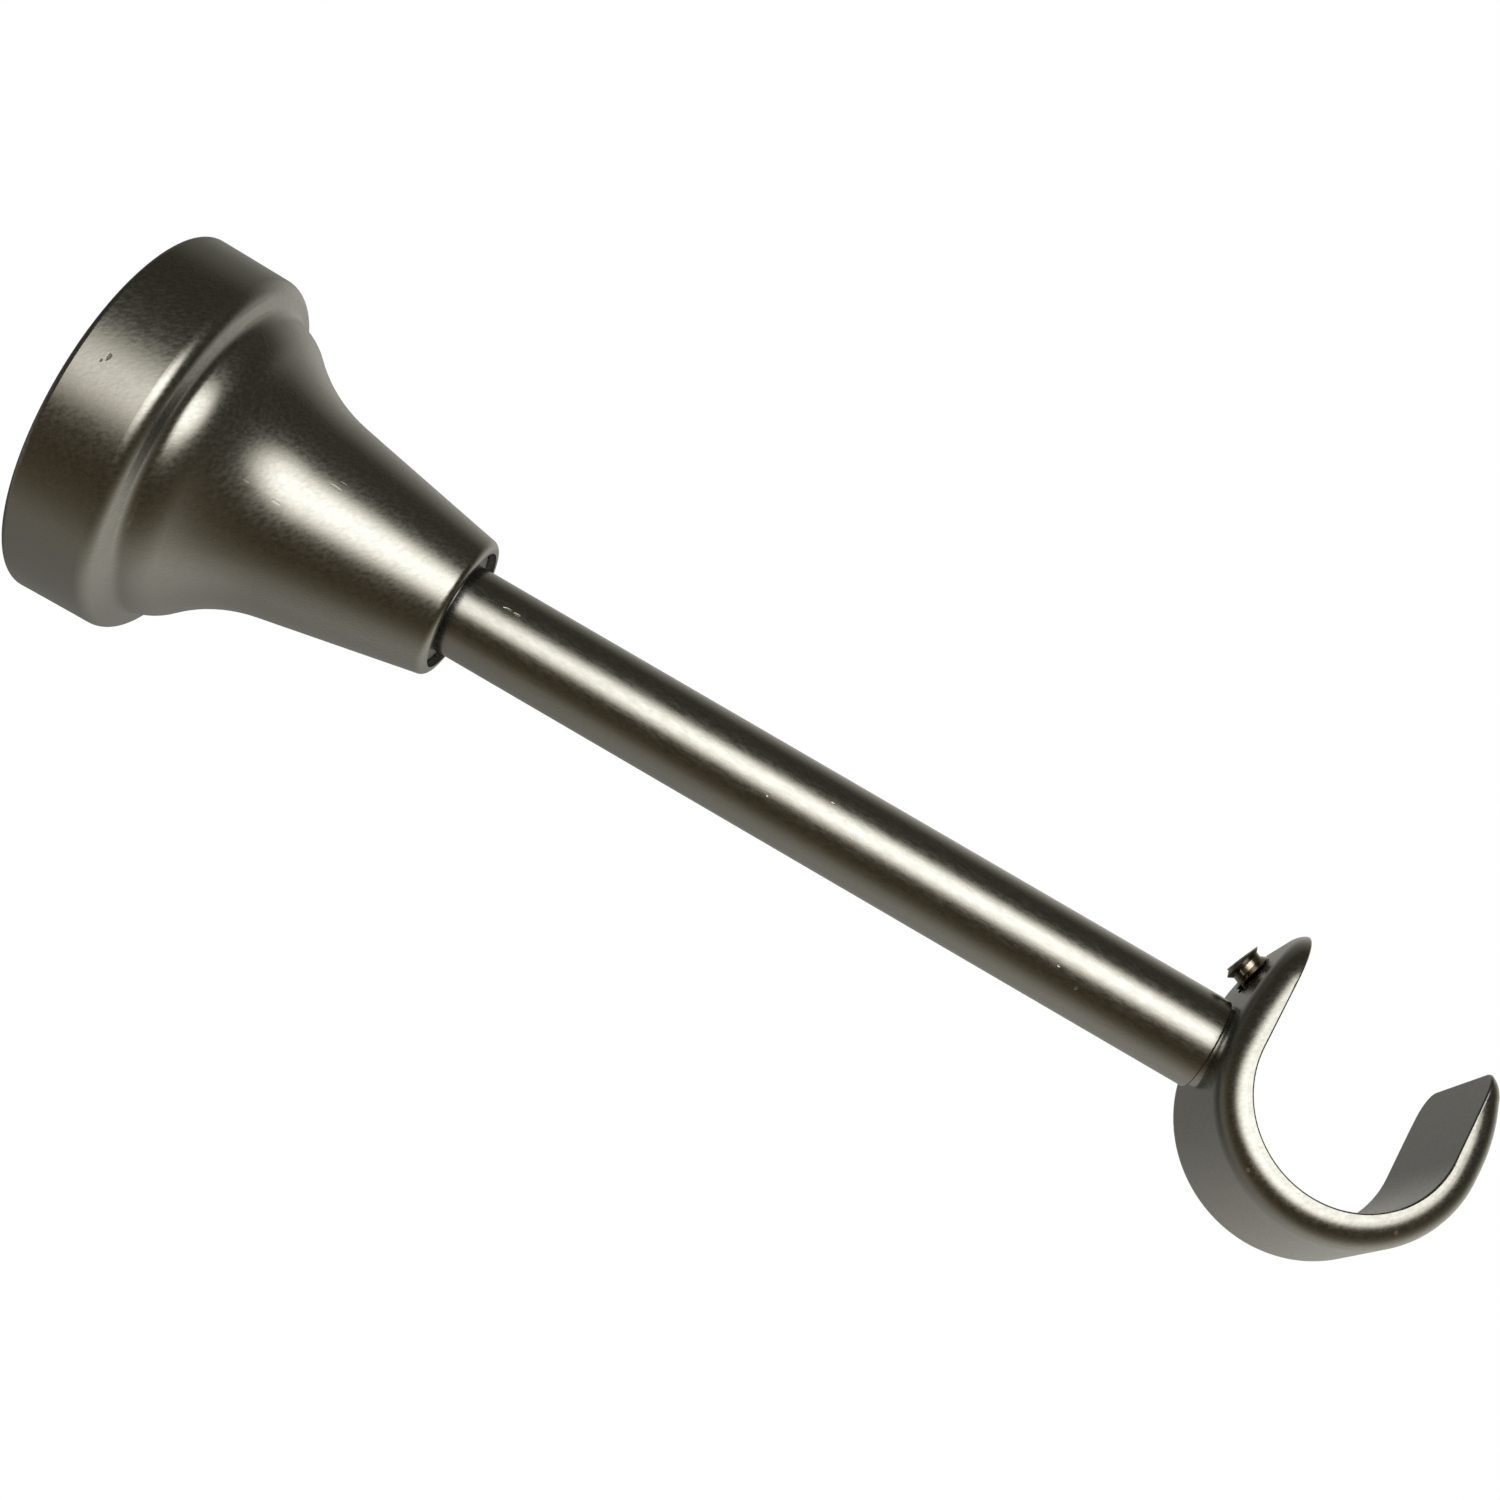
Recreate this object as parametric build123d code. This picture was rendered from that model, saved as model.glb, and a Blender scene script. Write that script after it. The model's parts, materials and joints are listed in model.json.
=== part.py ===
import os
from math import asin, atan2, cos, hypot, radians, sin, sqrt, tan

from build123d import *

os.makedirs("parts", exist_ok=True)

# Frame: X runs out of the wall along the arm, Z is up, the pole lies along Y.
# The origin is the centre of the wall face. All sizes are in millimetres.

# Pole and reach
pole_d = 25.0
pole_slack = 0.3
projection = 173.3

# Arm
arm_d = 12.0
arm_end_round = 0.3
joint_slack = 0.05

# Rose cover
rose_d = 50.0
rose_length = 50.0
rim_depth = 13.3
rim_taper = 0.25
rim_wall = 2.2
rim_back_round = 0.8
rim_front_round = 2.2
rim_ledge = 3.8
rim_lean = 20.0
rim_cove = 1.8
shoulder_back = 0.9
shoulder_round = 7.6
shoulder_slope = 44.0
flare_round = 20.5
rose_wall = 2.0
mouth_wall = 1.25
mouth_round = 1.1

# Guide bush
bush_wall = 2.1
bush_length = 8.0
bush_recess = 1.0
bush_round = 0.5
bush_slack = 0.06
bush_seat_extra = 0.6

# Wall plate
plate_thickness = 4.0
plate_slack = 0.6
plate_chamfer = 0.5
wall_hole_d = 5.0
wall_hole_inset = 7.2
wall_sink_d = 9.5

# Pole hook
hook_width = 23.5
hook_wall = 3.9
hook_base_extra = 0.3
hook_cheek = 1.2
hook_round = 3.2
hook_edge = 0.25
arm_horn_over = 4.4
arm_horn_tip = 1.1
arm_horn_corner = 8.0
far_horn_drop = 4.9
far_horn_tip = 1.1
far_horn_corner = 3.6
seat_height = 0.15
seat_inset = 0.2

# Countersunk screws
plate_screw_d = 6.0
plate_screw_head_d = 11.3
plate_screw_reach = 16.0
plate_screw_key = 4.0
plate_screw_key_depth = 2.2
hook_screw_d = 5.0
hook_screw_head_d = 9.2
hook_screw_reach = 13.0
hook_screw_key = 3.0
hook_screw_key_depth = 1.7
head_recess = 0.15
tap_extra = 3.0

# Pole screw
pole_screw_d = 5.5
pole_screw_length = 6.0
pole_screw_tilt = 23.4
pole_screw_offset = 3.55
pole_screw_stand = 2.5
pole_screw_end_chamfer = 0.3
pole_screw_tip_chamfer = 0.8
pole_screw_key = 2.5
pole_screw_key_depth = 2.5
pole_screw_slack = 0.05


# Round solids along X
def bar(radius, x_from, x_to):
    return extrude(Plane.YZ.offset(x_from) * Circle(radius), amount=x_to - x_from)


def taper(radius_from, x_from, radius_to, x_to):
    outline = Polyline((x_from, 0), (x_from, radius_from), (x_to, radius_to), (x_to, 0), close=True)
    return revolve(make_face(outline), Axis.X)


def hex_pit(across_flats, x_from, x_to):
    hexagon = RegularPolygon(across_flats / 2, 6, major_radius=False)
    return extrude(Plane.YZ.offset(x_from) * hexagon, amount=x_to - x_from)


# Rounds the corner of an outline that lies nearest to a point
def round_corner(sketch, point, radius):
    fillet(sketch.vertices().sort_by_distance(point)[0], radius)


# Sizes that follow from the ones above
arm_r = arm_d / 2
pole_bore_r = pole_d / 2 + pole_slack
hook_outer_r = pole_bore_r + hook_wall
arm_side = projection - hook_outer_r
far_side = projection + hook_outer_r
arm_horn_height = pole_bore_r + arm_horn_over
far_horn_height = arm_horn_height - far_horn_drop
arm_end_x = arm_side - seat_height
seat_r = arm_r - arm_end_round - seat_inset
bush_bore_r = arm_r + bush_slack
bush_r = bush_bore_r + bush_wall
mouth_r = bush_r + mouth_wall
bush_seat = bush_recess + bush_length + bush_seat_extra
rim_r = rose_d / 2
rim_inner_r = rim_r - rim_wall
plate_r = rim_inner_r - plate_slack
wall_hole_z = plate_r - wall_hole_inset
shoulder_r = rim_r - rim_ledge

# Rose cover outline: a leaning ledge, a round shoulder, a hollow flare and a straight cone to the mouth
slope = radians(shoulder_slope)
shoulder_x = rim_depth - shoulder_back
shoulder_start = asin(shoulder_back / shoulder_round)
shoulder_y = shoulder_r - shoulder_round
flare_x = shoulder_x + (shoulder_round + flare_round) * sin(slope)
flare_y = shoulder_y + (shoulder_round + flare_round) * cos(slope)
to_mouth_x = rose_length - flare_x
to_mouth_y = mouth_r - flare_y
cone = asin(-flare_round / hypot(to_mouth_x, to_mouth_y)) - atan2(to_mouth_y, to_mouth_x)


def on_shoulder(angle, depth):
    reach = shoulder_round - depth
    return (shoulder_x + reach * sin(angle), shoulder_y + reach * cos(angle))


def on_flare(angle, depth):
    reach = flare_round + depth
    return (flare_x - reach * sin(angle), flare_y - reach * cos(angle))


crease = on_shoulder(shoulder_start, 0)
rim_edge_r = rim_r - rim_taper
rim_edge_x = rim_depth - (rim_edge_r - crease[1]) * tan(radians(rim_lean))
inner_cone_start = on_flare(cone, rose_wall)
bush_seat_x = rose_length - bush_seat
inner_cone_drop = (bush_seat_x - inner_cone_start[0]) * sin(cone) / cos(cone)
inner_cone_end = (bush_seat_x, inner_cone_start[1] - inner_cone_drop)

# Rose cover
with BuildPart() as rose_cover:
    with BuildSketch(Plane.XY) as rose_profile:
        with BuildLine():
            Polyline((0, rim_inner_r), (0, rim_r), (rim_edge_x, rim_edge_r), crease)
            ThreePointArc(crease, on_shoulder((shoulder_start + slope) / 2, 0), on_shoulder(slope, 0))
            ThreePointArc(on_flare(slope, 0), on_flare((slope + cone) / 2, 0), on_flare(cone, 0))
            Polyline(on_flare(cone, 0), (rose_length, mouth_r), (rose_length, bush_r), (bush_seat_x, bush_r),
                     inner_cone_end, inner_cone_start)
            ThreePointArc(inner_cone_start, on_flare((slope + cone) / 2, rose_wall),
                          on_flare(slope, rose_wall))
            ThreePointArc(on_shoulder(slope, rose_wall), on_shoulder(slope / 2, rose_wall),
                          on_shoulder(0, rose_wall))
            Polyline(on_shoulder(0, rose_wall), (rim_depth - rose_wall, shoulder_r - rose_wall),
                     (rim_depth - rose_wall, rim_inner_r), (0, rim_inner_r))
        make_face()
        round_corner(rose_profile, (0, rim_r), rim_back_round)
        round_corner(rose_profile, (rim_edge_x, rim_edge_r), rim_front_round)
        round_corner(rose_profile, crease, rim_cove)
        round_corner(rose_profile, (rose_length, mouth_r), mouth_round)
    revolve(axis=Axis.X)

# Guide bush pressed into the mouth of the rose
bush_front = rose_length - bush_recess
with BuildPart() as rose_bush:
    with BuildSketch(Plane.XY) as bush_profile:
        with BuildLine():
            Polyline((bush_front - bush_length, bush_bore_r), (bush_front - bush_length, bush_r),
                     (bush_front, bush_r), (bush_front, bush_bore_r), close=True)
        make_face()
        round_corner(bush_profile, (bush_front, bush_r), bush_round)
    revolve(axis=Axis.X)

# Plate screw: head flush in the back of the plate, shank in the arm
plate_screw_r = plate_screw_d / 2
plate_head_r = plate_screw_head_d / 2
plate_head_depth = plate_head_r - plate_screw_r
plate_screw_end = plate_thickness + plate_screw_reach
plate_screw = taper(plate_head_r, head_recess, plate_screw_r, head_recess + plate_head_depth)
plate_screw += bar(plate_screw_r, head_recess + plate_head_depth, plate_screw_end)
plate_screw -= hex_pit(plate_screw_key, head_recess, head_recess + plate_screw_key_depth)

# Hook screw: head below the pole's seat, shank in the arm
hook_screw_r = hook_screw_d / 2
hook_head_r = hook_screw_head_d / 2
hook_head_depth = hook_head_r - hook_screw_r
hook_head_x = projection - pole_bore_r - head_recess
hook_screw_end = arm_end_x - hook_screw_reach
hook_screw = taper(hook_screw_r, hook_head_x - hook_head_depth, hook_head_r, hook_head_x)
hook_screw += bar(hook_screw_r, hook_screw_end, hook_head_x - hook_head_depth)
hook_screw -= hex_pit(hook_screw_key, hook_head_x - hook_screw_key_depth, hook_head_x)

# Wall plate
sink_depth = (wall_sink_d - wall_hole_d) / 2
wall_plate = bar(plate_r, 0, plate_thickness)
wall_plate = chamfer(wall_plate.faces().sort_by(Axis.X)[-1].edges(), plate_chamfer)
wall_hole = bar(wall_hole_d / 2, 0, plate_thickness)
wall_hole += taper(wall_hole_d / 2, plate_thickness - sink_depth, wall_sink_d / 2, plate_thickness)
for hole_z in (-wall_hole_z, wall_hole_z):
    wall_plate -= Pos(0, 0, hole_z) * wall_hole
wall_plate -= bar(plate_head_r + joint_slack, 0, head_recess)
wall_plate -= taper(plate_head_r + joint_slack, head_recess,
                    plate_screw_r + joint_slack, head_recess + plate_head_depth)
wall_plate -= bar(plate_screw_r + joint_slack, head_recess + plate_head_depth, plate_thickness)

# Arm, rounded off where it meets the hook
arm = bar(arm_r, plate_thickness, arm_end_x)
arm = fillet(arm.faces().sort_by(Axis.X)[-1].edges(), arm_end_round)
arm -= bar(plate_screw_r + joint_slack, plate_thickness, plate_screw_end + tap_extra)
arm -= bar(hook_screw_r + joint_slack, hook_screw_end - tap_extra, arm_end_x)

# Pole hook: a solid block takes the side outline and the horns' tongue shapes, its outer edges are
# rolled over, and the pole's slot then cuts the wall to its thickness
slot_top = arm_horn_height * 2
arm_tip_x = arm_side + hook_wall - arm_horn_tip
far_tip_x = far_side - hook_wall + far_horn_tip


def tongue(height, corner, x_from, x_to):
    foot = -hook_outer_r * 2
    outline = Pos(0, (height + foot) / 2) * Rectangle(hook_width, height - foot)
    outline = fillet(outline.vertices().sort_by(Axis.Y)[2:], corner)
    return extrude(Plane.YZ.offset(x_from) * outline, amount=x_to - x_from)


# True for the faces that look away from the pole
def faces_out(face):
    across = face.center() - Vector(projection, 0, 0)
    looks = face.normal_at()
    return abs(looks.Y) < 0.01 and looks.X * across.X + looks.Z * min(across.Z, 0) > 1


tongues = tongue(arm_horn_height, arm_horn_corner, arm_side - hook_wall, projection)
tongues += tongue(far_horn_height, far_horn_corner, projection, far_side + hook_wall)
with BuildPart() as hook_block:
    with BuildSketch(Plane.XZ):
        with BuildLine():
            ThreePointArc((arm_side, -hook_base_extra), (projection, -hook_outer_r - hook_base_extra),
                          (far_side, -hook_base_extra))
            Line((far_side, -hook_base_extra), (far_side, hook_cheek))
            TangentArc((far_side, hook_cheek), (far_tip_x, far_horn_height), tangent=(0, 1))
            Polyline((far_tip_x, far_horn_height), (projection, far_horn_height),
                     (projection, arm_horn_height), (arm_tip_x, arm_horn_height))
            TangentArc((arm_side, hook_cheek), (arm_tip_x, arm_horn_height), tangent=(0, 1))
            Line((arm_side, hook_cheek), (arm_side, -hook_base_extra))
        make_face()
    extrude(amount=hook_width, both=True)
    add(tongues, mode=Mode.INTERSECT)
    flank_edges = [edge for face in hook_block.faces() if faces_out(face) for edge in face.edges()]
    rolled = [edge for edge in flank_edges if sum(edge.is_same(other) for other in flank_edges) == 1]
    fillet(rolled, hook_round)
    with BuildSketch(Plane.XZ):
        with Locations((projection, 0)):
            Circle(pole_bore_r)
        with Locations((projection, slot_top / 2)):
            Rectangle(pole_bore_r * 2, slot_top)
    extrude(amount=hook_width, both=True, mode=Mode.SUBTRACT)
    fillet(hook_block.edges(Select.NEW), hook_edge)
pole_hook = hook_block.part
pole_hook += bar(seat_r, arm_end_x, arm_side + hook_wall / 2)
pole_hook -= bar(hook_screw_r + joint_slack, arm_end_x, hook_head_x - hook_head_depth)
pole_hook -= taper(hook_screw_r + joint_slack, hook_head_x - hook_head_depth,
                   hook_head_r + joint_slack, hook_head_x)
pole_hook -= bar(hook_head_r + joint_slack, hook_head_x, projection)

# Pole screw through the arm-side horn, leaning with it, a little above the middle of the pole
tilt = radians(pole_screw_tilt)
foot_x = projection + pole_screw_offset * sin(tilt)
foot_z = pole_screw_offset * cos(tilt)
horn_rise = arm_horn_height - hook_cheek
horn_run = hook_wall - arm_horn_tip
flank_round = (horn_rise**2 + horn_run**2) / (2 * horn_run)
from_horn_x = foot_x - arm_side - flank_round
from_horn_z = foot_z - hook_cheek
half_b = from_horn_z * sin(tilt) - from_horn_x * cos(tilt)
gap = from_horn_x**2 + from_horn_z**2 - flank_round**2
flank_reach = sqrt(half_b**2 - gap) - half_b
screw_out = flank_reach + pole_screw_stand
screw_plane = Plane(
    origin=(foot_x - screw_out * cos(tilt), 0, foot_z + screw_out * sin(tilt)),
    x_dir=(0, 1, 0),
    z_dir=(cos(tilt), 0, -sin(tilt)),
)
pole_screw_r = pole_screw_d / 2
screw_body = extrude(Circle(pole_screw_r), amount=pole_screw_length)
screw_ends = screw_body.faces().sort_by(Axis.Z)
screw_body = chamfer(screw_ends[0].edges(), pole_screw_end_chamfer)
screw_body = chamfer(screw_body.faces().sort_by(Axis.Z)[-1].edges(), pole_screw_tip_chamfer)
screw_body -= extrude(RegularPolygon(pole_screw_key / 2, 6, major_radius=False), amount=pole_screw_key_depth)
pole_screw = screw_plane * screw_body
screw_hole = extrude(Circle(pole_screw_r + pole_screw_slack), amount=pole_screw_length + pole_screw_stand)
pole_hook -= screw_plane * screw_hole

# One file per piece
export_step(rose_cover.part, "parts/rose_cover.step")
export_step(rose_bush.part, "parts/rose_bush.step")
export_step(wall_plate, "parts/wall_plate.step")
export_step(plate_screw, "parts/plate_screw.step")
export_step(arm, "parts/arm.step")
export_step(pole_hook, "parts/pole_hook.step")
export_step(hook_screw, "parts/hook_screw.step")
export_step(pole_screw, "parts/pole_screw.step")
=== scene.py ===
import json
import math

import bmesh
import bpy
from mathutils import Matrix, Vector


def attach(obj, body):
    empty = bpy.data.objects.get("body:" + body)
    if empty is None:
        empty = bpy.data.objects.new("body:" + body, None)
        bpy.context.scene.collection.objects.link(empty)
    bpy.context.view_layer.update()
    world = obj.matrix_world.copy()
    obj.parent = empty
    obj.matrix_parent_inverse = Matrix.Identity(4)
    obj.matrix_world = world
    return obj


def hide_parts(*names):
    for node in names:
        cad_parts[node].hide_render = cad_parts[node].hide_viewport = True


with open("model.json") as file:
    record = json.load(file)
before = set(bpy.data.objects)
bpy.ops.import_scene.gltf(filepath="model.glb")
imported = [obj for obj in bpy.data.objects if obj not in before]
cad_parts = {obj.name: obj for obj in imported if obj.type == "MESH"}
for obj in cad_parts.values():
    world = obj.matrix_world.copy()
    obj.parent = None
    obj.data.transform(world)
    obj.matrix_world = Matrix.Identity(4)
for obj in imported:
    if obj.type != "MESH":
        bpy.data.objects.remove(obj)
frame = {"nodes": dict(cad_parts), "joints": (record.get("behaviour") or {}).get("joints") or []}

mm = 0.001
plainWhite = [1, 1, 1, 1]
noiseRange = {"From Min": 0.3, "From Max": 0.7}    # nearly all of a noise lies between these
scene = bpy.context.scene
nodes = frame["nodes"]
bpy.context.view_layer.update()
print("frame loaded with", len(nodes), "nodes")


# sRGB hex to the linear values that Blender's sockets take
def hexToLinear(hexColour):
    channels = [int(hexColour[i:i + 2], 16) / 255 for i in (1, 3, 5)]
    return [c / 12.92 if c <= 0.04045 else ((c + 0.055) / 1.055) ** 2.4 for c in channels] + [1.0]


# one node with its settings; an input is a value, or a socket to link from
def addNode(tree, kind, inputs=None, **settings):
    node = tree.nodes.new(kind)
    for name, value in settings.items():
        setattr(node, name, value)
    for name, value in (inputs or {}).items():
        if isinstance(value, bpy.types.NodeSocket):
            tree.links.new(value, node.inputs[name])
        else:
            node.inputs[name].default_value = value
    return node


def startMaterial(name):
    material = bpy.data.materials.new(name)
    material.use_nodes = True
    material.node_tree.nodes.clear()
    return material, material.node_tree


def addObject(name, data):
    added = bpy.data.objects.new(name, data)
    scene.collection.objects.link(added)
    return added


def addMesh(name, mesh):
    data = bpy.data.meshes.new(name)
    mesh.to_mesh(data)
    mesh.free()
    return addObject(name, data)


# faces between each ring of points and the next
def joinRings(mesh, rings):
    for near, far in zip(rings, rings[1:]):
        for column in range(len(near)):
            following = (column + 1) % len(near)
            mesh.faces.new((near[column], far[column], far[following], near[following]))


# two tones of one material that cloud into each other
def cloudTones(tree, place, cloudMm, fromTone, toTone, detail):
    cloud = addNode(tree, "ShaderNodeTexNoise", {
        "Vector": place, "Scale": 1 / (cloudMm * mm), "Detail": detail})
    tone = addNode(tree, "ShaderNodeMix", {
        "Factor": cloud.outputs["Fac"], "A": hexToLinear(fromTone), "B": hexToLinear(toTone)}, data_type="RGBA")
    return cloud.outputs["Fac"], tone.outputs["Result"]


# edge of a small mark: how far noise pulls it about, and where its fading starts and ends
markEdge = {"raggedMm": 0.5, "raggedness": 1.6, "fadeFrom": 1.45, "fadeTo": 1.75}


# small marks on a surface: 1 inside a mark, 0 outside
def markMask(tree, place, spots, edge):
    ragged = addNode(tree, "ShaderNodeTexNoise", {
        "Vector": place, "Scale": 1 / (edge["raggedMm"] * mm), "Detail": 3.0})
    mask = None
    for centre, size in spots:
        away = addNode(tree, "ShaderNodeVectorMath", {
            0: place, 1: [c * mm for c in centre]}, operation="SUBTRACT")
        share = addNode(tree, "ShaderNodeVectorMath", {
            0: away.outputs[0], 1: [s * mm for s in size]}, operation="DIVIDE")
        reach = addNode(tree, "ShaderNodeVectorMath", {0: share.outputs[0]}, operation="LENGTH")
        rough = addNode(tree, "ShaderNodeMath", {
            0: ragged.outputs["Fac"], 1: edge["raggedness"], 2: reach.outputs["Value"]},
            operation="MULTIPLY_ADD")
        inside = addNode(tree, "ShaderNodeMapRange", {
            "Value": rough.outputs[0], "From Min": edge["fadeFrom"], "From Max": edge["fadeTo"],
            "To Min": 1.0, "To Max": 0.0}, interpolation_type="SMOOTHSTEP").outputs["Result"]
        if mask is None:
            mask = inside
        else:
            mask = addNode(tree, "ShaderNodeMath", {0: mask, 1: inside}, operation="MAXIMUM").outputs[0]
    return mask


# satin nickel plating, bead-blasted before it was plated: a soft wide sheen that breaks up into a sandy
# sparkle at its edges, grey with a touch of olive, a little cloudy over a few millimetres
# the real grain is near 0.1 mm, too fine to show, so it is drawn about four times as coarse, and drawn out
# a little the way the piece was rubbed down
nickelPlating = {
    "coolTone": "#8f8f8b", "warmTone": "#93928f",
    "roughLow": 0.22, "grainStrength": 0.3, "grainDepthMm": 0.02,
}


def satinNickel(name, settings):
    material, tree = startMaterial(name)
    place = addNode(tree, "ShaderNodeTexCoord").outputs["Object"]
    rubbed = addNode(tree, "ShaderNodeMapping", {
        "Vector": place, "Scale": [settings["strokeRatio"], 1, 1],
        "Rotation": [0, math.radians(settings["strokeTurn"]), 0]}, vector_type="TEXTURE")
    grain = addNode(tree, "ShaderNodeTexNoise", {
        "Vector": rubbed.outputs["Vector"], "Scale": 1 / (settings["grainMm"] * mm), "Detail": 2.0})
    colour = cloudTones(
        tree, place, settings["cloudMm"], settings["coolTone"], settings["warmTone"], detail=3.0)[1]
    gloss = addNode(tree, "ShaderNodeMapRange", {
        "Value": grain.outputs["Fac"], **noiseRange,
        "To Min": settings["roughLow"], "To Max": settings["roughHigh"]})
    height = grain.outputs["Fac"]
    for mark in settings["marks"]:
        mask = markMask(tree, place, mark["spots"], markEdge)
        colour = addNode(tree, "ShaderNodeMix", {
            "Factor": mask, "A": colour, "B": hexToLinear(mark["tone"])}, data_type="RGBA").outputs["Result"]
        height = addNode(tree, "ShaderNodeMath", {
            0: mask, 1: -mark["depth"], 2: height}, operation="MULTIPLY_ADD").outputs[0]
    bump = addNode(tree, "ShaderNodeBump", {
        "Height": height, "Strength": settings["grainStrength"], "Distance": settings["grainDepthMm"] * mm})
    shader = addNode(tree, "ShaderNodeBsdfPrincipled", {
        "Base Color": colour, "Metallic": 1.0,
        "Roughness": gloss.outputs["Result"], "Normal": bump.outputs["Normal"]})
    addNode(tree, "ShaderNodeOutputMaterial", {"Surface": shader.outputs["BSDF"]})
    return material


# a spot on a round piece: millimetres along the arm, degrees round it, radius
def onRound(along, azimuth, radius):
    turn = math.radians(azimuth)
    return (along, radius * math.cos(turn), radius * math.sin(turn))


# each mark has a tone, a depth in grain heights and spots, each with its centre and reach in millimetres
# rose: zinc casting, with a few faint scuffs on the cone and one casting pit on the rim
roseFinish = {
    **nickelPlating,
    "grainMm": 0.4, "strokeRatio": 2.0, "strokeTurn": -45, "cloudMm": 9.0, "roughHigh": 0.32,
    "marks": [
        {"tone": "#9f9e99", "depth": 1.2, "spots": [
            (onRound(31.6, 172.3, 12.97), (0.8, 0.4, 0.16)), (onRound(32.1, 168.0, 12.88), (0.5, 0.4, 0.16)),
            (onRound(26.7, -164.3, 13.99), (0.9, 0.4, 0.16)), (onRound(22.6, -166.0, 15.55), (0.6, 0.5, 0.2))]},
        {"tone": "#5d5c57", "depth": 8.0, "spots": [
            (onRound(4.1, -175.2, 24.89), (0.34, 0.5, 0.56)), (onRound(3.6, -173.5, 24.9), (0.24, 0.4, 0.26))]},
    ],
}

# arm: drawn bar, chipped in a few places where it was handled
armFinish = {
    **nickelPlating,
    "grainMm": 0.38, "strokeRatio": 3.0, "strokeTurn": 0, "cloudMm": 14.0, "roughHigh": 0.31,
    "marks": [
        {"tone": "#d8d5cc", "depth": 4.0, "spots": [
            (onRound(55.9, 166.5, 6.0), (0.7, 0.4, 0.2)), (onRound(57.2, 166.5, 6.0), (0.6, 0.4, 0.2)),
            (onRound(94.8, -157.5, 6.0), (0.22, 0.3, 0.18)), (onRound(102.1, 172.0, 6.0), (0.32, 0.3, 0.14)),
            (onRound(135.4, -157.0, 6.0), (0.24, 0.3, 0.2)), (onRound(138.6, -143.6, 6.0), (0.26, 0.3, 0.22))]},
    ],
}

# hook: zinc casting like the rose, with two specks on its near flank
hookFinish = {
    **nickelPlating,
    "grainMm": 0.4, "strokeRatio": 1.6, "strokeTurn": -45, "cloudMm": 7.0, "roughHigh": 0.32,
    "marks": [
        {"tone": "#d2cfc6", "depth": 4.0, "spots": [
            ((165.25, -10.93, -13.7), (0.3, 0.3, 0.25)), ((183.57, -11.32, -11.38), (0.28, 0.3, 0.28))]},
    ],
}

# bush: moulded grey nylon, dull, with a faint mould texture
bushFinish = {
    "darkTone": "#83827d", "paleTone": "#92918b", "rough": 0.55, "ior": 1.53,
    "skinMm": 0.4, "skinStrength": 0.3, "skinDepthMm": 0.02,
}


def mouldedNylon(settings):
    material, tree = startMaterial("grey_nylon_moulded")
    place = addNode(tree, "ShaderNodeTexCoord").outputs["Object"]
    skin, colour = cloudTones(
        tree, place, settings["skinMm"], settings["darkTone"], settings["paleTone"], detail=4.0)
    bump = addNode(tree, "ShaderNodeBump", {
        "Height": skin, "Strength": settings["skinStrength"], "Distance": settings["skinDepthMm"] * mm})
    shader = addNode(tree, "ShaderNodeBsdfPrincipled", {
        "Base Color": colour, "Roughness": settings["rough"], "IOR": settings["ior"],
        "Normal": bump.outputs["Normal"]})
    addNode(tree, "ShaderNodeOutputMaterial", {"Surface": shader.outputs["BSDF"]})
    return material


# wall plate and its screws: bright zinc plating on pressed steel, bluish, with duller straw-coloured patches
# where the passivation is thicker
zincFinish = {
    "blueTone": "#a9adb2", "strawTone": "#b4b2a8", "patchMm": 6.0,
    "roughBlue": 0.22, "roughStraw": 0.38,
    "gritMm": 0.25, "gritStrength": 0.3, "gritDepthMm": 0.015,
}


def zincPlating(settings):
    material, tree = startMaterial("zinc_plated_steel")
    place = addNode(tree, "ShaderNodeTexCoord").outputs["Object"]
    patch, colour = cloudTones(
        tree, place, settings["patchMm"], settings["blueTone"], settings["strawTone"], detail=4.0)
    grit = addNode(tree, "ShaderNodeTexNoise", {
        "Vector": place, "Scale": 1 / (settings["gritMm"] * mm), "Detail": 2.0})
    gloss = addNode(tree, "ShaderNodeMapRange", {
        "Value": patch, **noiseRange, "To Min": settings["roughBlue"], "To Max": settings["roughStraw"]})
    bump = addNode(tree, "ShaderNodeBump", {
        "Height": grit.outputs["Fac"], "Strength": settings["gritStrength"],
        "Distance": settings["gritDepthMm"] * mm})
    shader = addNode(tree, "ShaderNodeBsdfPrincipled", {
        "Base Color": colour, "Metallic": 1.0,
        "Roughness": gloss.outputs["Result"], "Normal": bump.outputs["Normal"]})
    addNode(tree, "ShaderNodeOutputMaterial", {"Surface": shader.outputs["BSDF"]})
    return material


finishes = {
    "rose_cover": satinNickel("satin_nickel_on_cast_rose", roseFinish),
    "arm": satinNickel("satin_nickel_on_drawn_bar", armFinish),
    "pole_hook": satinNickel("satin_nickel_on_cast_hook", hookFinish),
    "rose_bush": mouldedNylon(bushFinish),
    "wall_plate": zincPlating(zincFinish),
}
finishes["plate_screw"] = finishes["hook_screw"] = finishes["wall_plate"]
for name, material in finishes.items():
    nodes[name].data.materials.clear()
    nodes[name].data.materials.append(material)
print("finishes on", len(finishes), "CAD nodes")


# threaded grub screw in the hook's horn, in place of the plain CAD one
grubScrew = {
    "pitchMm": 1.8, "coreMm": 4.2, "crestMm": 5.45, "rootShare": 0.4, "startTurn": 0.35,
    "endChamferMm": 0.2, "tipChamferMm": 0.8,
    "keyMm": 2.5, "keyDepthMm": 2.5,
    "columns": 72, "rowMm": 0.05, "sharpAngle": 25,
}


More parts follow.
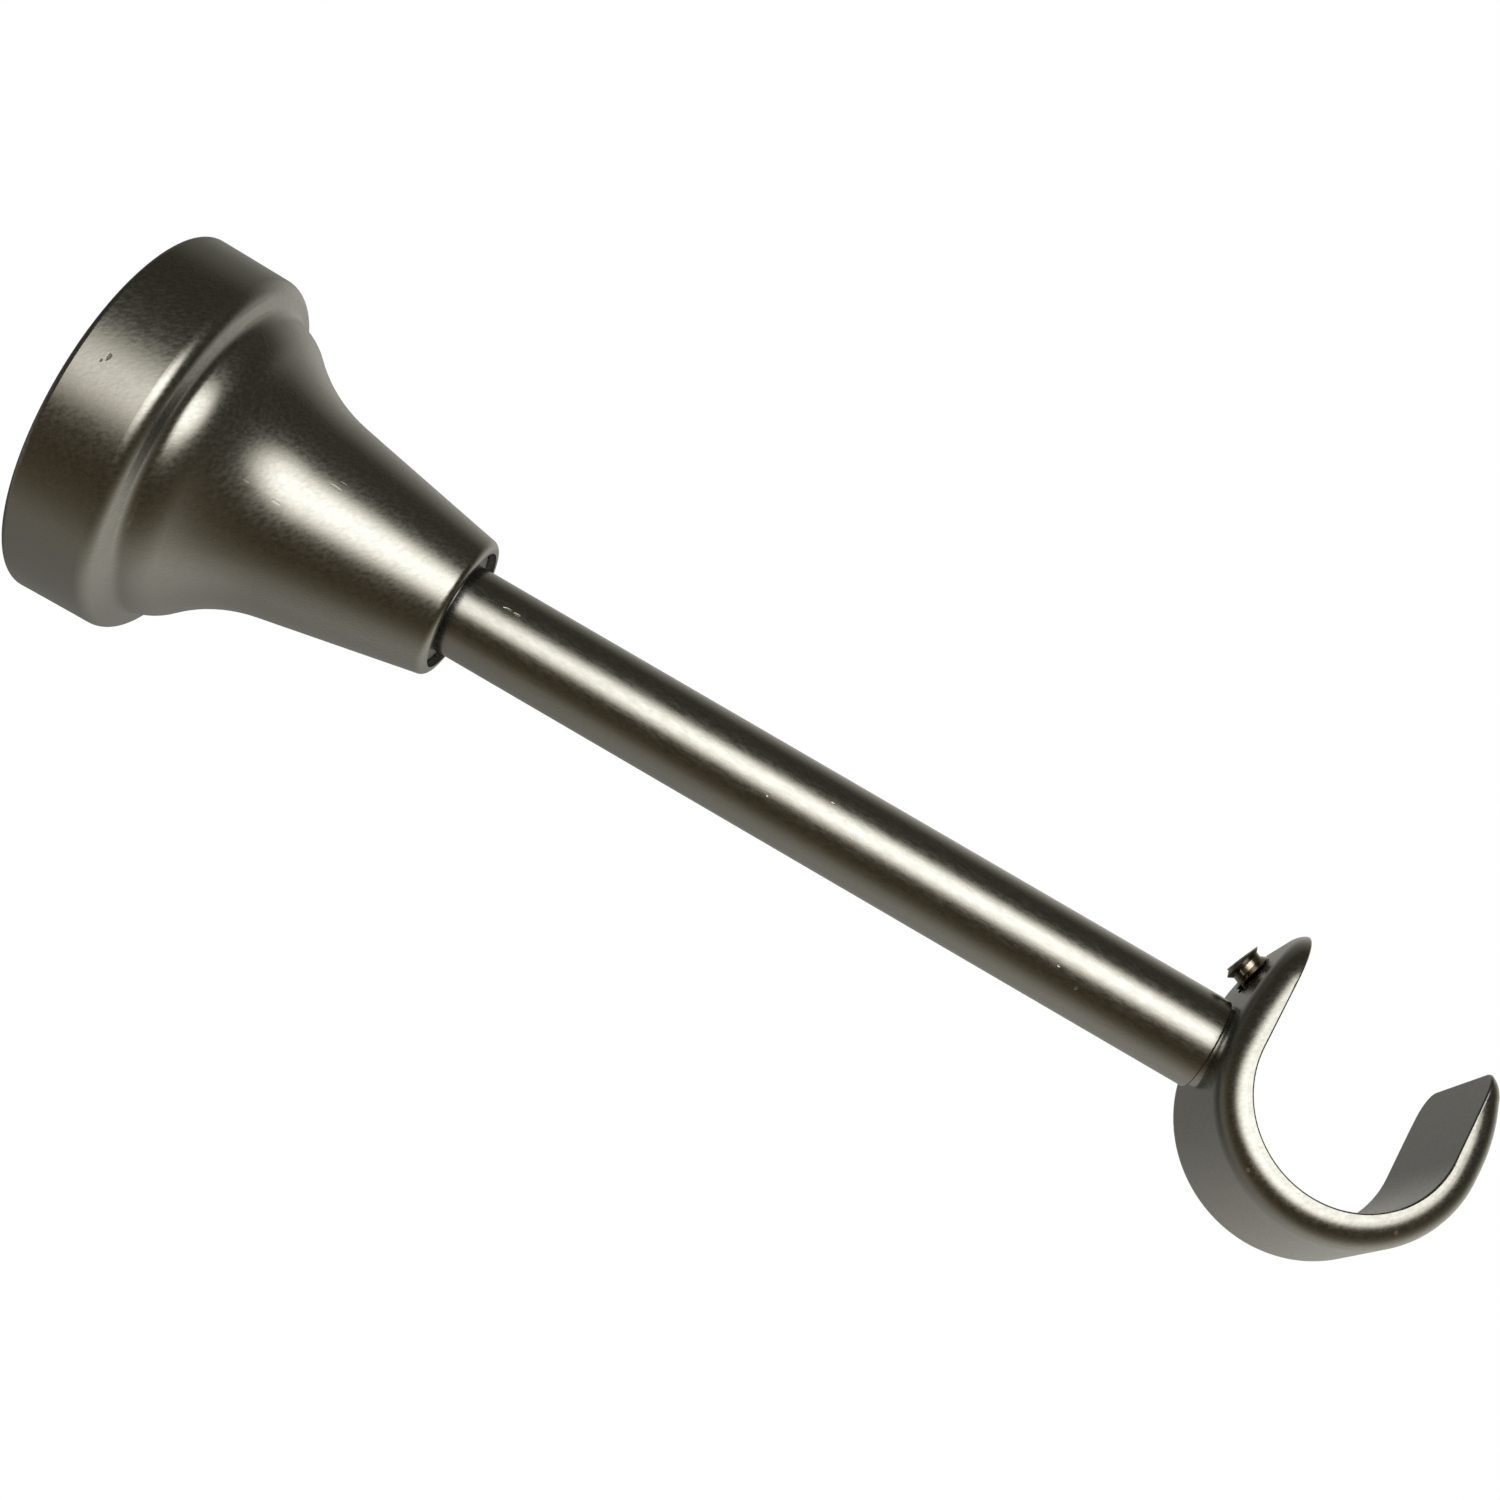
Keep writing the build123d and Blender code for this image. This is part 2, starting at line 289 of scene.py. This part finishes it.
def makeGrubScrew(settings):
    cad = nodes["pole_screw"].data.vertices
    drive = next(joint for joint in frame["joints"] if joint["name"] == "lock_screw_drive")
    inward = Vector(drive["axis"]).normalized()
    across = Vector((0, 1, 0))
    upward = inward.cross(across)
    along = [v.co.dot(inward) for v in cad]
    height = [v.co.dot(upward) for v in cad]
    outerEnd = inward * min(along) + upward * (min(height) + max(height)) / 2
    length = max(along) - min(along)
    columns = settings["columns"]
    rows = round(length / (settings["rowMm"] * mm))
    core = settings["coreMm"] * mm / 2
    crest = settings["crestMm"] * mm / 2

    def spot(depth, turn, radius):
        return outerEnd + inward * depth + (across * math.cos(turn) + upward * math.sin(turn)) * radius

    mesh = bmesh.new()
    rings = []
    for row in range(rows + 1):
        depth = length * row / rows
        limit = min(crest - settings["endChamferMm"] * mm + depth,
                    crest - settings["tipChamferMm"] * mm + (length - depth))
        ring = []
        for column in range(columns):
            turn = 2 * math.pi * column / columns
            phase = (depth / (settings["pitchMm"] * mm) - column / columns + settings["startTurn"]) % 1
            rise = (abs(2 * phase - 1) - settings["rootShare"]) / (1 - settings["rootShare"])
            radius = core + (crest - core) * max(rise, 0)
            ring.append(mesh.verts.new(spot(depth, turn, min(radius, limit))))
        rings.append(ring)
    # hexagon socket in the outer end
    for depth in (0, settings["keyDepthMm"] * mm):
        ring = []
        for column in range(columns):
            turn = 2 * math.pi * column / columns
            toFlat = (turn % (math.pi / 3)) - math.pi / 6
            ring.append(mesh.verts.new(spot(depth, turn, settings["keyMm"] * mm / 2 / math.cos(toFlat))))
        rings.insert(0, ring)
    joinRings(mesh, rings)
    mesh.faces.new(rings[0])
    mesh.faces.new(list(reversed(rings[-1])))
    bmesh.ops.recalc_face_normals(mesh, faces=mesh.faces[:])
    for face in mesh.faces:
        face.smooth = True
    for edge in mesh.edges:
        if len(edge.link_faces) == 2 and edge.calc_face_angle() > math.radians(settings["sharpAngle"]):
            edge.smooth = False
    return addMesh("lock_screw_thread", mesh)


# cut steel thread: bright, with patches of a darker, duller film
screwFinish = {
    "filmTone": "#7d756a", "brightTone": "#a39c90", "filmMm": 0.8,
    "roughFilm": 0.28, "roughBright": 0.16,
}


def cutSteel(settings):
    material, tree = startMaterial("bright_steel_thread")
    place = addNode(tree, "ShaderNodeTexCoord").outputs["Object"]
    film, colour = cloudTones(
        tree, place, settings["filmMm"], settings["filmTone"], settings["brightTone"], detail=3.0)
    gloss = addNode(tree, "ShaderNodeMapRange", {
        "Value": film, **noiseRange, "To Min": settings["roughFilm"], "To Max": settings["roughBright"]})
    shader = addNode(tree, "ShaderNodeBsdfPrincipled", {
        "Base Color": colour, "Metallic": 1.0, "Roughness": gloss.outputs["Result"]})
    addNode(tree, "ShaderNodeOutputMaterial", {"Surface": shader.outputs["BSDF"]})
    return material


lockScrew = makeGrubScrew(grubScrew)
lockScrew.data.materials.append(cutSteel(screwFinish))
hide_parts("pole_screw")
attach(lockScrew, "lock_screw")
print("grub screw:", len(lockScrew.data.polygons), "faces")


# floor: pale card, white to the camera, and it keeps the shadow
floorCard = {"place": (0.09, 0, -0.75), "size": 12.0, "tone": "#e9e8e4", "toCamera": 0.75}


def makeFloor(settings):
    half = settings["size"] / 2
    data = bpy.data.meshes.new("floor_card")
    corners = [(-half, -half, 0), (half, -half, 0), (half, half, 0), (-half, half, 0)]
    data.from_pydata(corners, [], [(0, 1, 2, 3)])
    floor = addObject("floor_card", data)
    floor.location = settings["place"]
    floor.visible_glossy = False    # the metal sees the tent instead
    material, tree = startMaterial("pale_floor_card")
    rays = addNode(tree, "ShaderNodeLightPath")
    matt = addNode(tree, "ShaderNodeBsdfDiffuse", {"Color": hexToLinear(settings["tone"])})
    seen = addNode(tree, "ShaderNodeMath", {
        0: rays.outputs["Is Camera Ray"], 1: rays.outputs["Is Transmission Ray"]}, operation="MAXIMUM")
    shown = addNode(tree, "ShaderNodeMath", {0: seen.outputs[0], 1: settings["toCamera"]}, operation="MULTIPLY")
    glow = addNode(tree, "ShaderNodeEmission", {"Color": plainWhite, "Strength": shown.outputs[0]})
    both = addNode(tree, "ShaderNodeAddShader", {0: matt.outputs[0], 1: glow.outputs[0]})
    addNode(tree, "ShaderNodeOutputMaterial", {"Surface": both.outputs[0]})
    data.materials.append(material)


# one soft oval lamp in front, bright in the middle and faded out at the edge
frontLamp = {
    "place": (0.23, -1.2, 0.105), "tilt": -27, "wide": 2.3, "high": 1.5, "power": 36.5,
    "core": "#fffefa", "edge": "#fbf2dd", "coreShare": 0.15,
}


def makeFrontLamp(settings):
    lamp = bpy.data.lights.new("front_lamp", "AREA")
    lamp.shape = "ELLIPSE"
    lamp.size, lamp.size_y = settings["wide"], settings["high"]
    lamp.energy = settings["power"]
    lamp.use_nodes = True
    tree = lamp.node_tree
    tree.nodes.clear()
    onLamp = addNode(tree, "ShaderNodeNewGeometry").outputs["Parametric"]    # 0 to 1 across the lamp
    across = addNode(tree, "ShaderNodeVectorMath", {0: onLamp, 1: (0.5, 0.5, 0)}, operation="SUBTRACT")
    reach = addNode(tree, "ShaderNodeVectorMath", {0: across.outputs[0]}, operation="LENGTH")
    fade = addNode(tree, "ShaderNodeMapRange", {
        "Value": reach.outputs["Value"], "From Min": 0.5, "From Max": settings["coreShare"] / 2},
        interpolation_type="SMOOTHSTEP")
    tint = addNode(tree, "ShaderNodeMix", {
        "Factor": fade.outputs["Result"], "A": hexToLinear(settings["edge"]),
        "B": hexToLinear(settings["core"])}, data_type="RGBA")
    glow = addNode(tree, "ShaderNodeEmission", {
        "Color": tint.outputs["Result"], "Strength": fade.outputs["Result"]})
    addNode(tree, "ShaderNodeOutputLight", {"Surface": glow.outputs[0]})
    holder = addObject("front_lamp", lamp)
    holder.location = settings["place"]
    holder.rotation_euler = (math.radians(90), math.radians(settings["tilt"]), 0)    # upright, then tilted
    holder.visible_camera = False


# a dark tent round it all, which only the metal sees: its glow is painted reflection, dark beside the lamp and
# grey behind, standing in for the room
darkTent = {
    "place": (0.09, 0.0, 0.0), "radius": 1.6, "ringStep": 4, "poleGap": 0.1, "columns": 64,
    # how bright the painted reflection glows at each angle from the lamp's side, above and below the arm
    "upper": [(20, "#3f3d31"), (90, "#474539"), (112, "#98968b"),
              (132, "#bfbdb4"), (146, "#c6c4bd"), (162, "#84837f")],
    "lower": [(20, "#4a402c"), (62, "#554a36"), (80, "#7a705d"),
              (97, "#aaa497"), (122, "#bebab1"), (160, "#aba8a1")],
    "blend": 0.35,    # lower tones turn to upper ones between this far below and above
    "sideGain": 1.0, "sideFrom": 0.5, "sideTo": 0.65,    # painted reflection behind, brighter towards the hook's end
    "midGain": 0.25, "midEdge": 0.32, "midCore": 0.1,    # painted reflection brighter above the middle of the arm
}


def toneRing(tree, share, stops):
    ramp = addNode(tree, "ShaderNodeValToRGB", {"Fac": share})
    elements = ramp.color_ramp.elements
    elements[0].position, elements[1].position = stops[0][0] / 180, stops[-1][0] / 180
    elements[0].color, elements[1].color = hexToLinear(stops[0][1]), hexToLinear(stops[-1][1])
    for degrees, tone in stops[1:-1]:
        elements.new(degrees / 180).color = hexToLinear(tone)
    return ramp.outputs["Color"]


def makeDarkTent(settings):
    radius, columns, gap = settings["radius"], settings["columns"], settings["poleGap"]
    mesh = bmesh.new()
    rings = []
    for degrees in range(0, 181, settings["ringStep"]):
        turn = math.radians(min(max(degrees, gap), 180 - gap))
        ring = []
        for column in range(columns):
            azimuth = 2 * math.pi * column / columns
            ring.append(mesh.verts.new((radius * math.sin(turn) * math.cos(azimuth), -radius * math.cos(turn),
                                        radius * math.sin(turn) * math.sin(azimuth))))
        rings.append(ring)
    joinRings(mesh, rings)
    tent = addMesh("dark_tent", mesh)
    tent.location = settings["place"]
    for kind in ("camera", "diffuse", "transmission", "volume_scatter", "shadow"):
        setattr(tent, "visible_" + kind, False)
    material, tree = startMaterial("dark_tent_painted_reflection")
    material.cycles.emission_sampling = "NONE"    # too even to need it, and it would take samples from the lamp
    place = addNode(tree, "ShaderNodeTexCoord").outputs["Object"]
    outward = addNode(tree, "ShaderNodeVectorMath", {0: place}, operation="NORMALIZE")
    split = addNode(tree, "ShaderNodeSeparateXYZ", {0: outward.outputs[0]})
    facing = addNode(tree, "ShaderNodeMath", {0: split.outputs["Y"], 1: -1.0}, operation="MULTIPLY")
    angle = addNode(tree, "ShaderNodeMath", {0: facing.outputs[0]}, operation="ARCCOSINE")
    share = addNode(tree, "ShaderNodeMath", {0: angle.outputs[0], 1: math.pi}, operation="DIVIDE")
    rise = addNode(tree, "ShaderNodeMapRange", {
        "Value": split.outputs["Z"], "From Min": -settings["blend"], "From Max": settings["blend"]})
    tone = addNode(tree, "ShaderNodeMix", {
        "Factor": rise.outputs["Result"],
        "A": toneRing(tree, share.outputs[0], settings["lower"]),
        "B": toneRing(tree, share.outputs[0], settings["upper"])}, data_type="RGBA")
    behind = addNode(tree, "ShaderNodeMapRange", {
        "Value": share.outputs[0], "From Min": settings["sideFrom"], "From Max": settings["sideTo"],
        "To Max": settings["sideGain"]})
    side = addNode(tree, "ShaderNodeMath", {
        0: split.outputs["X"], 1: behind.outputs["Result"], 2: 1.0}, operation="MULTIPLY_ADD")
    offMiddle = addNode(tree, "ShaderNodeMath", {0: split.outputs["X"]}, operation="ABSOLUTE")
    middle = addNode(tree, "ShaderNodeMapRange", {
        "Value": offMiddle.outputs[0], "From Min": settings["midEdge"], "From Max": settings["midCore"],
        "To Max": settings["midGain"]}, interpolation_type="SMOOTHSTEP")
    level = addNode(tree, "ShaderNodeMath", {
        0: middle.outputs["Result"], 1: rise.outputs["Result"], 2: side.outputs[0]}, operation="MULTIPLY_ADD")
    # the tent's glow is painted reflection: the tones above, seen only in the metal
    paintedReflectionGlow = addNode(tree, "ShaderNodeEmission", {"Color": tone.outputs["Result"], "Strength": level.outputs[0]})
    addNode(tree, "ShaderNodeOutputMaterial", {"Surface": paintedReflectionGlow.outputs[0]})
    tent.data.materials.append(material)


# white surroundings that light the part softly; a mirror would show them greyer low down, but here the tent
# stands before them
surround = {"soft": 0.35, "lowGrey": 0.62, "highWhite": 1.0, "riseFrom": -0.2, "riseTo": 0.9}


def makeSurround(settings):
    world = bpy.data.worlds.new("white_surround")
    scene.world = world
    world.use_nodes = True
    tree = world.node_tree
    tree.nodes.clear()
    rays = addNode(tree, "ShaderNodeLightPath")
    around = addNode(tree, "ShaderNodeTexCoord").outputs["Generated"]
    split = addNode(tree, "ShaderNodeSeparateXYZ", {0: around})
    rise = addNode(tree, "ShaderNodeMapRange", {
        "Value": split.outputs["Z"], "From Min": settings["riseFrom"], "From Max": settings["riseTo"],
        "To Min": settings["lowGrey"], "To Max": settings["highWhite"]})
    mirrored = addNode(tree, "ShaderNodeMix", {
        "Factor": rays.outputs["Is Glossy Ray"], "A": settings["soft"], "B": rise.outputs["Result"]},
        data_type="FLOAT")
    seen = addNode(tree, "ShaderNodeMath", {
        0: rays.outputs["Is Camera Ray"], 1: rays.outputs["Is Transmission Ray"]}, operation="MAXIMUM")
    level = addNode(tree, "ShaderNodeMix", {
        "Factor": seen.outputs[0], "A": mirrored.outputs["Result"], "B": 1.0}, data_type="FLOAT")
    sky = addNode(tree, "ShaderNodeBackground", {"Color": plainWhite, "Strength": level.outputs["Result"]})
    addNode(tree, "ShaderNodeOutputWorld", {"Surface": sky.outputs[0]})


makeFloor(floorCard)
makeFrontLamp(frontLamp)
makeDarkTent(darkTent)
makeSurround(surround)
scene.view_settings.view_transform = "Standard"
print("floor, lamp, tent and surround set")

# camera as the photograph was taken: below the arm, rolled so that the arm runs down to the right
camera = {
    "place": (0.10562, -0.28374, -0.08035), "aim": (0.08981, 0.0, 0.00316), "roll": -31.08,
    "lens": 57.23, "sensor": 36, "nearest": 0.01,
}


def makeCamera(settings):
    data = bpy.data.cameras.new("photo_camera")
    data.sensor_width = settings["sensor"]
    data.lens = settings["lens"]
    data.clip_start = settings["nearest"]
    holder = addObject("photo_camera", data)
    forward = (Vector(settings["aim"]) - Vector(settings["place"])).normalized()
    level = forward.cross(Vector((0, 0, 1))).normalized()
    plumb = level.cross(forward)
    roll = math.radians(settings["roll"])
    up = plumb * math.cos(roll) + level * math.sin(roll)
    right = forward.cross(up)
    turn = Matrix((right, up, -forward)).transposed().to_4x4()
    holder.matrix_world = Matrix.Translation(settings["place"]) @ turn
    scene.camera = holder


makeCamera(camera)
print("camera set")
